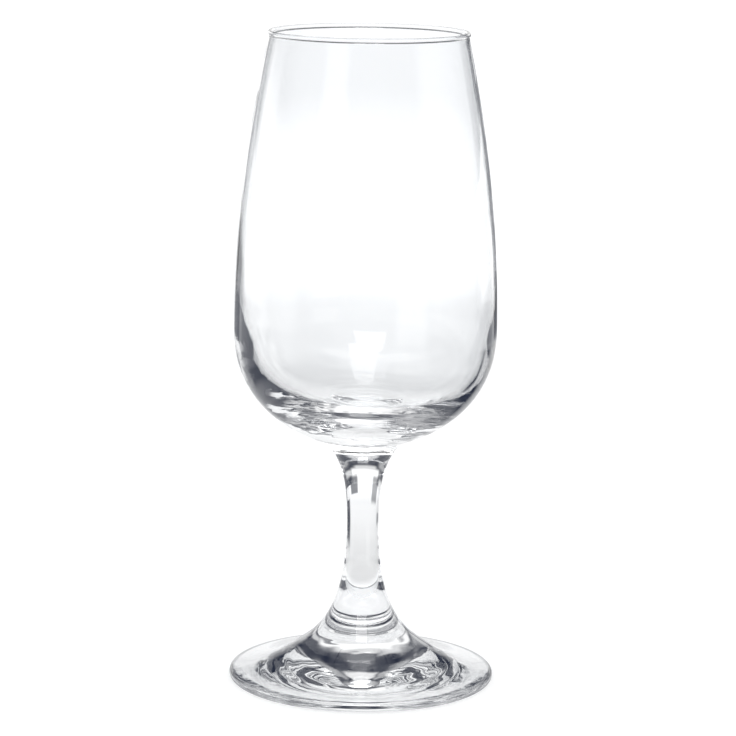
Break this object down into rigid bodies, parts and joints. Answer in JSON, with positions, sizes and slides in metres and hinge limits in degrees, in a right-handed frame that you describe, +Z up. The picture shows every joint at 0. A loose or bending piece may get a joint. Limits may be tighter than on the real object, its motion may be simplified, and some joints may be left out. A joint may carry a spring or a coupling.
{
  "type": "sherry glass",
  "caption": "Small clear stemmed glass for fortified wine: a tall bowl that narrows to a beaded lip, on a short drawn stem and a round foot.",
  "frame": {"origin": "centre of the ring that the foot rests on, at table level", "axes": "+Z up the glass's axis towards the lip; the glass is round about Z, so +X and +Y are alike"},
  "size_m": [0.0572, 0.0572, 0.14],
  "materials": {
    "clear_glass": "clear, fire-polished soda-lime glass"
  },
  "bodies": {
    "root": {"foot": "clear_glass", "stem": "clear_glass", "bowl": "clear_glass"}
  },
  "joints": []
}
